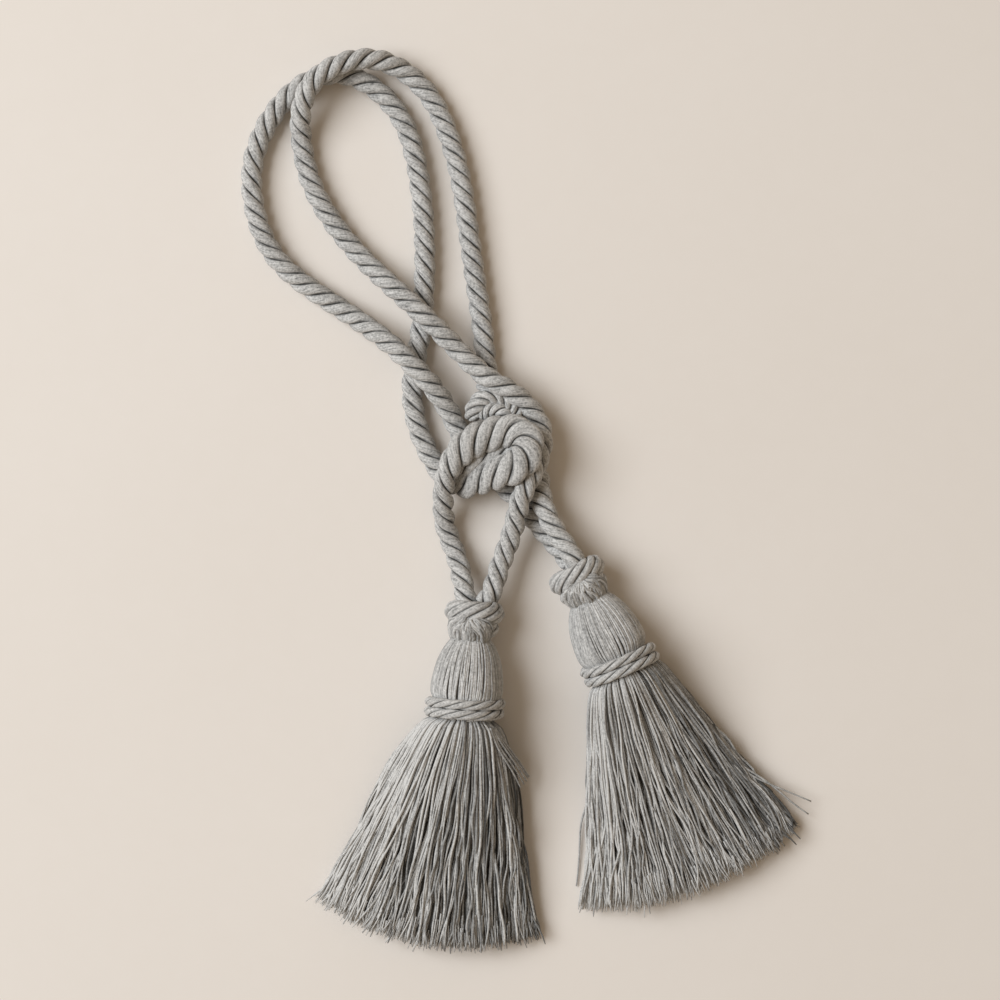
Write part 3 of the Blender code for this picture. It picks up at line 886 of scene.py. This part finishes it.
def build_stage(settings):
    """The floor, the soft window light, the fill and the camera."""
    half = FLOOR_SIZE / 2
    mesh = bpy.data.meshes.new("Floor")
    mesh.from_pydata([(-half, -half, 0), (half, -half, 0), (half, half, 0), (-half, half, 0)],
                     [], [(0, 1, 2, 3)])
    mesh.materials.append(floor_finish(settings))
    floor = plain_object("Floor", mesh)
    light = bpy.data.lights.new("Window", "AREA")
    light.shape = "SQUARE"
    light.size = settings.light_size
    light.energy = settings.light_power
    light.color = settings.light_colour
    height, swing = settings.light_height, settings.light_swing
    toward = Vector((-math.cos(height) * math.cos(swing), math.cos(height) * math.sin(swing),
                     math.sin(height)))
    lamp = plain_object("Window", light, toward * settings.light_distance)
    lamp.rotation_euler = toward.to_track_quat("Z", "Y").to_euler()
    world = bpy.data.worlds.new("Room")
    world.use_nodes = True
    background = world.node_tree.nodes["Background"]
    background.inputs["Color"].default_value = (*settings.fill_colour, 1.0)
    background.inputs["Strength"].default_value = settings.fill
    bpy.context.scene.world = world
    camera = bpy.data.cameras.new("Camera")
    camera.sensor_width = 36.0
    camera.lens = settings.lens
    view = plain_object("Camera", camera, (*CAMERA_OVER, settings.camera_height))
    bpy.context.scene.camera = view
    bpy.context.scene.view_settings.view_transform = "Standard"


def colour_setting(name, description, default):
    """A colour that the user can change."""
    return bpy.props.FloatVectorProperty(
        name=name, description=description, default=default, subtype="COLOR", min=0.0, max=1.0)


def size_setting(name, description, default):
    """A size that the user can change, in metres."""
    return bpy.props.FloatProperty(
        name=name, description=description, default=default, min=0.1 * MM, unit="LENGTH")


class YarnSettings(bpy.types.PropertyGroup):
    """The cotton's colours, and how thick and how tightly laid its cords and yarns are."""

    # The near-black dark colour is where painted shade goes: in the cords' grooves and deep among the
    # skirts' yarns.  Dark yarns only lean towards it.
    yarn_dark: colour_setting("Dark yarn", "Colour deep in the grooves", (0.006, 0.006, 0.005))
    yarn_light: colour_setting("Light yarn", "Colour of the crests", (0.635, 0.622, 0.60))
    cord_lay: size_setting("Cord lay", "Length of one turn of the cords' strands", 24.8 * MM)
    top_knot_cord: size_setting("Top knot cord", "Thickness of the cord in the top knots", 10.4 * MM)
    binding_cord: size_setting("Binding cord", "Thickness of the cord round the necks", 4.6 * MM)
    yarn_thickness: size_setting("Skirt yarn", "Usual thickness of the skirts' top yarns", 1.28 * MM)


class StageSettings(bpy.types.PropertyGroup):
    """Light, floor and camera."""

    floor_dark: colour_setting("Dark floor", "Darkest colour of the floor", (0.775, 0.713, 0.648))
    floor_light: colour_setting("Light floor", "Lightest colour of the floor", (0.827, 0.77, 0.713))
    light_colour: colour_setting("Window colour", "Colour of the window light", (0.886, 0.942, 1.0))
    fill_colour: colour_setting("Fill colour", "Colour of the light from the room", (1.0, 0.81, 0.60))
    light_distance: size_setting("Window distance", "From the window light to the object", 3.4)

    light_power: bpy.props.FloatProperty(
        name="Window power", description="Power of the soft window light", default=122.0,
        min=0.0, unit="POWER")
    light_size: bpy.props.FloatProperty(
        name="Window size", description="Side of the square window light", default=2.3,
        min=0.05, unit="LENGTH")
    light_height: bpy.props.FloatProperty(
        name="Window height", description="Angle of the light above the floor",
        default=math.radians(46.5), min=math.radians(5.0), max=math.radians(90.0),
        subtype="ANGLE")
    light_swing: bpy.props.FloatProperty(
        name="Window swing", description="Turn of the light from -X towards +Y",
        default=math.radians(14.0), min=-math.pi, max=math.pi, subtype="ANGLE")
    fill: bpy.props.FloatProperty(
        name="Fill", description="Strength of the even light from the room", default=0.32, min=0.0)
    lens: bpy.props.FloatProperty(
        name="Lens", description="Focal length in millimetres", default=93.1, min=10.0)
    camera_height: bpy.props.FloatProperty(
        name="Camera height", description="Height of the camera above the floor", default=1.2,
        min=0.1, unit="LENGTH")


class TIEBACK_OT_cords(bpy.types.Operator):
    """Build the two twisted cords and the folds in their knot"""

    bl_idname = "tieback.cords"
    bl_label = "Cords"

    def execute(self, context):
        settings = context.scene.tieback_yarn
        add_cord("wrapping_cord_rope", "wrapping_cord", WRAPPING_ROUTE, (5, 14), 0.6, 101, settings)
        add_cord("through_cord_rope", "through_cord", THROUGH_ROUTE, (32, 34), 0.6, 201, settings,
                 knob=30)
        add_knot_folds(settings)
        return {"FINISHED"}


class TIEBACK_OT_skirts(bpy.types.Operator):
    """Build both skirts of loose yarns"""

    bl_idname = "tieback.skirts"
    bl_label = "Skirts"

    def execute(self, context):
        settings = context.scene.tieback_yarn
        for name in TASSELS:
            finish = fibre_finish(f"{name} skirt", "yarn", settings)
            tassel_piece(f"{name}_skirt", f"{name}_tassel_yarns",
                         skirt_arrays(name, settings), finish)
        return {"FINISHED"}


class TIEBACK_OT_heads(bpy.types.Operator):
    """Build both heads of gathered yarns"""

    bl_idname = "tieback.heads"
    bl_label = "Heads"

    def execute(self, context):
        settings = context.scene.tieback_yarn
        for name in TASSELS:
            finish = fibre_finish(f"{name} head", "yarn", settings)
            tassel_piece(f"{name}_head", f"{name}_tassel_yarns",
                         head_arrays(name), finish)
        return {"FINISHED"}


class TIEBACK_OT_bindings(bpy.types.Operator):
    """Build both bindings round the necks"""

    bl_idname = "tieback.bindings"
    bl_label = "Bindings"

    def execute(self, context):
        settings = context.scene.tieback_yarn
        for name in TASSELS:
            finish = fibre_finish(f"{name} binding", "binding", settings)
            tassel_piece(f"{name}_binding_cord", f"{name}_tassel_binding",
                         binding_arrays(name, settings), finish)
        return {"FINISHED"}


class TIEBACK_OT_top_knots(bpy.types.Operator):
    """Build both top knots"""

    bl_idname = "tieback.top_knots"
    bl_label = "Top knots"

    def execute(self, context):
        settings = context.scene.tieback_yarn
        for name in TASSELS:
            finish = fibre_finish(f"{name} top knot", "top knot", settings)
            tassel_piece(f"{name}_collar", f"{name}_tassel_top_knot",
                         collar_arrays(name, settings), finish)
        return {"FINISHED"}


class TIEBACK_OT_stage(bpy.types.Operator):
    """Set the floor, the light and the camera"""

    bl_idname = "tieback.stage"
    bl_label = "Stage"

    def execute(self, context):
        build_stage(context.scene.tieback_stage)
        return {"FINISHED"}


BUILD_STEPS = ("stage", "cords", "skirts", "heads", "bindings", "top_knots")


class TIEBACK_PT_panel(bpy.types.Panel):
    """Buttons that build the tieback, group by group"""

    bl_idname = "TIEBACK_PT_panel"
    bl_label = "Tieback"
    bl_space_type = "VIEW_3D"
    bl_region_type = "UI"
    bl_category = "Tieback"

    def draw(self, context):
        for step in BUILD_STEPS:
            self.layout.operator(f"tieback.{step}")
        for group in (context.scene.tieback_yarn, context.scene.tieback_stage):
            for setting in type(group).__annotations__:
                self.layout.prop(group, setting)


CLASSES = (YarnSettings, StageSettings, TIEBACK_OT_cords, TIEBACK_OT_skirts, TIEBACK_OT_heads,
           TIEBACK_OT_bindings, TIEBACK_OT_top_knots, TIEBACK_OT_stage, TIEBACK_PT_panel)


def register():
    """Add the classes and the scene's settings."""
    for item in CLASSES:
        bpy.utils.register_class(item)
    bpy.types.Scene.tieback_yarn = bpy.props.PointerProperty(type=YarnSettings)
    bpy.types.Scene.tieback_stage = bpy.props.PointerProperty(type=StageSettings)


def unregister():
    """Take the classes and settings away again."""
    del bpy.types.Scene.tieback_stage
    del bpy.types.Scene.tieback_yarn
    for item in reversed(CLASSES):
        bpy.utils.unregister_class(item)


def write_sizes():
    """Gather the corners of the bounds of every shown piece but the floor, in metres; nothing is
    written.
    """
    corners = []
    for item in bpy.context.scene.objects:
        if item.type == "MESH" and item.name != "Floor" and not item.hide_render:
            corners += [item.matrix_world @ Vector(corner) for corner in item.bound_box]
    corners = np.array([list(corner) for corner in corners])


def main():
    """Register the add-on and build everything."""
    register()
    for step in BUILD_STEPS:
        getattr(bpy.ops.tieback, step)()
    write_sizes()


if __name__ == "__main__":
    main()
